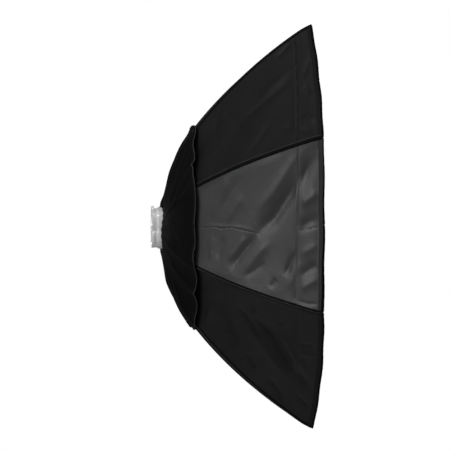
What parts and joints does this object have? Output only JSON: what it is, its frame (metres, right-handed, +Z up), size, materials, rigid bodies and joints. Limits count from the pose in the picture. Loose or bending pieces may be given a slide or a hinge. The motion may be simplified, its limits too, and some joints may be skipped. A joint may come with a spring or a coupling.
{
  "type": "studio softbox",
  "caption": "Umbrella-type octagonal studio softbox: folding ribs on a speed ring, black and grey fabric side panels, rear hood and recessed white diffuser.",
  "frame": {"origin": "on the optical axis, at the shoulder of the speed ring that seats on the front of the flash", "axes": "+X along the optical axis, the way the light leaves; +Z up; +Y to the left for someone who looks the way the light goes"},
  "size_m": [0.3457, 0.882, 0.882],
  "materials": {
    "ring_metal": "brushed, satin",
    "hub_black": "moulded, matte",
    "rod_steel": "drawn wire",
    "rib_steel": "black coated",
    "screw_steel": "black zinc",
    "button_red": "moulded, gloss",
    "black_cloth": "coated nylon, silver inside",
    "grey_cloth": "coated nylon, sheen, silver inside",
    "hood_cloth": "matt knitted cloth",
    "binding_cloth": "woven tape",
    "hook_cloth": "hook-and-loop tape",
    "diffuser_cloth": "white translucent cloth",
    "elastic": "elastic webbing"
  },
  "bodies": {
    "hub": {"speed_ring": "ring_metal", "hub_ring": "hub_black", "hub_rear_plate": "hub_black", "hub_screws": "screw_steel", "rib_hinge_pins": "rod_steel", "guide_rods": "rod_steel", "guide_end_ring": "hub_black", "guide_end_screws": "screw_steel", "rear_hood": "hood_cloth", "front_binding": "binding_cloth", "hook_tape": "hook_cloth"},
    "slider": {"slider_ring": "hub_black", "latch_spring": "rod_steel"},
    "latch": {"latch_button": "button_red"},
    "front_diffuser": {"front_diffuser": "diffuser_cloth"},
    "inner_diffuser": {"inner_diffuser": "diffuser_cloth", "inner_diffuser_straps": "elastic"},
    "rib_1": {"rib_1": "rib_steel", "rib_fittings_1": "hub_black"},
    "strut_1": {"strut_1": "rod_steel"},
    "rib_2": {"rib_2": "rib_steel", "rib_fittings_2": "hub_black"},
    "strut_2": {"strut_2": "rod_steel"},
    "rib_3": {"rib_3": "rib_steel", "rib_fittings_3": "hub_black"},
    "strut_3": {"strut_3": "rod_steel"},
    "rib_4": {"rib_4": "rib_steel", "rib_fittings_4": "hub_black"},
    "strut_4": {"strut_4": "rod_steel"},
    "rib_5": {"rib_5": "rib_steel", "rib_fittings_5": "hub_black"},
    "strut_5": {"strut_5": "rod_steel"},
    "rib_6": {"rib_6": "rib_steel", "rib_fittings_6": "hub_black"},
    "strut_6": {"strut_6": "rod_steel"},
    "rib_7": {"rib_7": "rib_steel", "rib_fittings_7": "hub_black"},
    "strut_7": {"strut_7": "rod_steel"},
    "rib_8": {"rib_8": "rib_steel", "rib_fittings_8": "hub_black"},
    "strut_8": {"strut_8": "rod_steel"},
    "panel_left_a": {"panel_left_a": "grey_cloth"},
    "panel_left_b": {"panel_left_b": "grey_cloth"},
    "panel_upper_left_a": {"panel_upper_left_a": "black_cloth"},
    "panel_upper_left_b": {"panel_upper_left_b": "black_cloth"},
    "panel_top_a": {"panel_top_a": "black_cloth"},
    "panel_top_b": {"panel_top_b": "black_cloth"},
    "panel_upper_right_a": {"panel_upper_right_a": "black_cloth"},
    "panel_upper_right_b": {"panel_upper_right_b": "black_cloth"},
    "panel_right_a": {"panel_right_a": "grey_cloth"},
    "panel_right_b": {"panel_right_b": "grey_cloth"},
    "panel_lower_right_a": {"panel_lower_right_a": "black_cloth"},
    "panel_lower_right_b": {"panel_lower_right_b": "black_cloth"},
    "panel_bottom_a": {"panel_bottom_a": "black_cloth"},
    "panel_bottom_b": {"panel_bottom_b": "black_cloth"},
    "panel_lower_left_a": {"panel_lower_left_a": "black_cloth"},
    "panel_lower_left_b": {"panel_lower_left_b": "black_cloth"}
  },
  "joints": [
    {"name": "frame_fold", "type": "hinge", "parent": "hub", "child": "rib_1", "pos_m": [0.024, 0.05728, 0.02373], "axis": [0, 0.3827, -0.9239], "range_deg": [0, 52], "deforming": ["panel_left_a", "panel_left_b", "panel_upper_left_a", "panel_upper_left_b", "panel_top_a", "panel_top_b", "panel_upper_right_a", "panel_upper_right_b", "panel_right_a", "panel_right_b", "panel_lower_right_a", "panel_lower_right_b", "panel_bottom_a", "panel_bottom_b", "panel_lower_left_a", "panel_lower_left_b", "rear_hood", "front_binding", "hook_tape", "front_diffuser", "inner_diffuser", "inner_diffuser_straps"]},
    {"name": "strut_1_pivot", "type": "hinge", "parent": "rib_1", "child": "strut_1", "pos_m": [0.04124, 0.11996, 0.04969], "axis": [0, 0.3827, -0.9239], "range_deg": [-104, 0]},
    {"name": "rib_2_hinge", "type": "hinge", "parent": "hub", "child": "rib_2", "pos_m": [0.024, 0.02373, 0.05728], "axis": [0, 0.9239, -0.3827], "range_deg": [0, 52]},
    {"name": "strut_2_pivot", "type": "hinge", "parent": "rib_2", "child": "strut_2", "pos_m": [0.04124, 0.04969, 0.11996], "axis": [0, 0.9239, -0.3827], "range_deg": [-104, 0]},
    {"name": "rib_3_hinge", "type": "hinge", "parent": "hub", "child": "rib_3", "pos_m": [0.024, -0.02373, 0.05728], "axis": [0, 0.9239, 0.3827], "range_deg": [0, 52]},
    {"name": "strut_3_pivot", "type": "hinge", "parent": "rib_3", "child": "strut_3", "pos_m": [0.04124, -0.04969, 0.11996], "axis": [0, 0.9239, 0.3827], "range_deg": [-104, 0]},
    {"name": "rib_4_hinge", "type": "hinge", "parent": "hub", "child": "rib_4", "pos_m": [0.024, -0.05728, 0.02373], "axis": [0, 0.3827, 0.9239], "range_deg": [0, 52]},
    {"name": "strut_4_pivot", "type": "hinge", "parent": "rib_4", "child": "strut_4", "pos_m": [0.04124, -0.11996, 0.04969], "axis": [0, 0.3827, 0.9239], "range_deg": [-104, 0]},
    {"name": "rib_5_hinge", "type": "hinge", "parent": "hub", "child": "rib_5", "pos_m": [0.024, -0.05728, -0.02373], "axis": [0, -0.3827, 0.9239], "range_deg": [0, 52]},
    {"name": "strut_5_pivot", "type": "hinge", "parent": "rib_5", "child": "strut_5", "pos_m": [0.04124, -0.11996, -0.04969], "axis": [0, -0.3827, 0.9239], "range_deg": [-104, 0]},
    {"name": "rib_6_hinge", "type": "hinge", "parent": "hub", "child": "rib_6", "pos_m": [0.024, -0.02373, -0.05728], "axis": [0, -0.9239, 0.3827], "range_deg": [0, 52]},
    {"name": "strut_6_pivot", "type": "hinge", "parent": "rib_6", "child": "strut_6", "pos_m": [0.04124, -0.04969, -0.11996], "axis": [0, -0.9239, 0.3827], "range_deg": [-104, 0]},
    {"name": "rib_7_hinge", "type": "hinge", "parent": "hub", "child": "rib_7", "pos_m": [0.024, 0.02373, -0.05728], "axis": [0, -0.9239, -0.3827], "range_deg": [0, 52]},
    {"name": "strut_7_pivot", "type": "hinge", "parent": "rib_7", "child": "strut_7", "pos_m": [0.04124, 0.04969, -0.11996], "axis": [0, -0.9239, -0.3827], "range_deg": [-104, 0]},
    {"name": "rib_8_hinge", "type": "hinge", "parent": "hub", "child": "rib_8", "pos_m": [0.024, 0.05728, -0.02373], "axis": [0, -0.3827, -0.9239], "range_deg": [0, 52]},
    {"name": "strut_8_pivot", "type": "hinge", "parent": "rib_8", "child": "strut_8", "pos_m": [0.04124, 0.11996, -0.04969], "axis": [0, -0.3827, -0.9239], "range_deg": [-104, 0]},
    {"name": "panel_left_a_gather", "type": "slide", "parent": "rib_8", "child": "panel_left_a", "axis": [0, -0.3827, -0.9239], "range_m": [0, 0.15]},
    {"name": "panel_left_b_gather", "type": "slide", "parent": "rib_1", "child": "panel_left_b", "axis": [0, -0.3827, 0.9239], "range_m": [0, 0.15]},
    {"name": "panel_upper_left_a_gather", "type": "slide", "parent": "rib_1", "child": "panel_upper_left_a", "axis": [0, 0.3827, -0.9239], "range_m": [0, 0.15]},
    {"name": "panel_upper_left_b_gather", "type": "slide", "parent": "rib_2", "child": "panel_upper_left_b", "axis": [0, -0.9239, 0.3827], "range_m": [0, 0.15]},
    {"name": "panel_top_a_gather", "type": "slide", "parent": "rib_2", "child": "panel_top_a", "axis": [0, 0.9239, -0.3827], "range_m": [0, 0.15]},
    {"name": "panel_top_b_gather", "type": "slide", "parent": "rib_3", "child": "panel_top_b", "axis": [0, -0.9239, -0.3827], "range_m": [0, 0.15]},
    {"name": "panel_upper_right_a_gather", "type": "slide", "parent": "rib_3", "child": "panel_upper_right_a", "axis": [0, 0.9239, 0.3827], "range_m": [0, 0.15]},
    {"name": "panel_upper_right_b_gather", "type": "slide", "parent": "rib_4", "child": "panel_upper_right_b", "axis": [0, -0.3827, -0.9239], "range_m": [0, 0.15]},
    {"name": "panel_right_a_gather", "type": "slide", "parent": "rib_4", "child": "panel_right_a", "axis": [0, 0.3827, 0.9239], "range_m": [0, 0.15]},
    {"name": "panel_right_b_gather", "type": "slide", "parent": "rib_5", "child": "panel_right_b", "axis": [0, 0.3827, -0.9239], "range_m": [0, 0.15]},
    {"name": "panel_lower_right_a_gather", "type": "slide", "parent": "rib_5", "child": "panel_lower_right_a", "axis": [0, -0.3827, 0.9239], "range_m": [0, 0.15]},
    {"name": "panel_lower_right_b_gather", "type": "slide", "parent": "rib_6", "child": "panel_lower_right_b", "axis": [0, 0.9239, -0.3827], "range_m": [0, 0.15]},
    {"name": "panel_bottom_a_gather", "type": "slide", "parent": "rib_6", "child": "panel_bottom_a", "axis": [0, -0.9239, 0.3827], "range_m": [0, 0.15]},
    {"name": "panel_bottom_b_gather", "type": "slide", "parent": "rib_7", "child": "panel_bottom_b", "axis": [0, 0.9239, 0.3827], "range_m": [0, 0.15]},
    {"name": "panel_lower_left_a_gather", "type": "slide", "parent": "rib_7", "child": "panel_lower_left_a", "axis": [0, -0.9239, -0.3827], "range_m": [0, 0.15]},
    {"name": "panel_lower_left_b_gather", "type": "slide", "parent": "rib_8", "child": "panel_lower_left_b", "axis": [0, 0.3827, 0.9239], "range_m": [0, 0.15]},
    {"name": "slider_slide", "type": "slide", "parent": "hub", "child": "slider", "axis": [1, 0, 0], "range_m": [0, 0.09367]},
    {"name": "latch_press", "type": "slide", "parent": "slider", "child": "latch", "axis": [0, -0.7071, -0.7071], "range_m": [0, 0.0042], "stiffness_N_per_m": 500, "springref_m": -0.003, "deforming": ["latch_spring"]},
    {"name": "front_diffuser_pull", "type": "slide", "parent": "hub", "child": "front_diffuser", "axis": [1, 0, 0], "range_m": [0, 0.15]},
    {"name": "inner_diffuser_pull", "type": "slide", "parent": "hub", "child": "inner_diffuser", "axis": [1, 0, 0], "range_m": [0, 0.045]}
  ],
  "couplings": [
    {"joint": "strut_1_pivot", "follows": "frame_fold", "ratio": -2},
    {"joint": "rib_2_hinge", "follows": "frame_fold", "ratio": 1},
    {"joint": "strut_2_pivot", "follows": "frame_fold", "ratio": -2},
    {"joint": "rib_3_hinge", "follows": "frame_fold", "ratio": 1},
    {"joint": "strut_3_pivot", "follows": "frame_fold", "ratio": -2},
    {"joint": "rib_4_hinge", "follows": "frame_fold", "ratio": 1},
    {"joint": "strut_4_pivot", "follows": "frame_fold", "ratio": -2},
    {"joint": "rib_5_hinge", "follows": "frame_fold", "ratio": 1},
    {"joint": "strut_5_pivot", "follows": "frame_fold", "ratio": -2},
    {"joint": "rib_6_hinge", "follows": "frame_fold", "ratio": 1},
    {"joint": "strut_6_pivot", "follows": "frame_fold", "ratio": -2},
    {"joint": "rib_7_hinge", "follows": "frame_fold", "ratio": 1},
    {"joint": "strut_7_pivot", "follows": "frame_fold", "ratio": -2},
    {"joint": "rib_8_hinge", "follows": "frame_fold", "ratio": 1},
    {"joint": "strut_8_pivot", "follows": "frame_fold", "ratio": -2},
    {"joint": "panel_left_a_gather", "follows": "frame_fold", "m_per_rad": 0.16528},
    {"joint": "panel_left_b_gather", "follows": "frame_fold", "m_per_rad": 0.16528},
    {"joint": "panel_upper_left_a_gather", "follows": "frame_fold", "m_per_rad": 0.16528},
    {"joint": "panel_upper_left_b_gather", "follows": "frame_fold", "m_per_rad": 0.16528},
    {"joint": "panel_top_a_gather", "follows": "frame_fold", "m_per_rad": 0.16528},
    {"joint": "panel_top_b_gather", "follows": "frame_fold", "m_per_rad": 0.16528},
    {"joint": "panel_upper_right_a_gather", "follows": "frame_fold", "m_per_rad": 0.16528},
    {"joint": "panel_upper_right_b_gather", "follows": "frame_fold", "m_per_rad": 0.16528},
    {"joint": "panel_right_a_gather", "follows": "frame_fold", "m_per_rad": 0.16528},
    {"joint": "panel_right_b_gather", "follows": "frame_fold", "m_per_rad": 0.16528},
    {"joint": "panel_lower_right_a_gather", "follows": "frame_fold", "m_per_rad": 0.16528},
    {"joint": "panel_lower_right_b_gather", "follows": "frame_fold", "m_per_rad": 0.16528},
    {"joint": "panel_bottom_a_gather", "follows": "frame_fold", "m_per_rad": 0.16528},
    {"joint": "panel_bottom_b_gather", "follows": "frame_fold", "m_per_rad": 0.16528},
    {"joint": "panel_lower_left_a_gather", "follows": "frame_fold", "m_per_rad": 0.16528},
    {"joint": "panel_lower_left_b_gather", "follows": "frame_fold", "m_per_rad": 0.16528},
    {"joint": "slider_slide", "follows": "frame_fold", "m_per_rad": 0.10321}
  ]
}
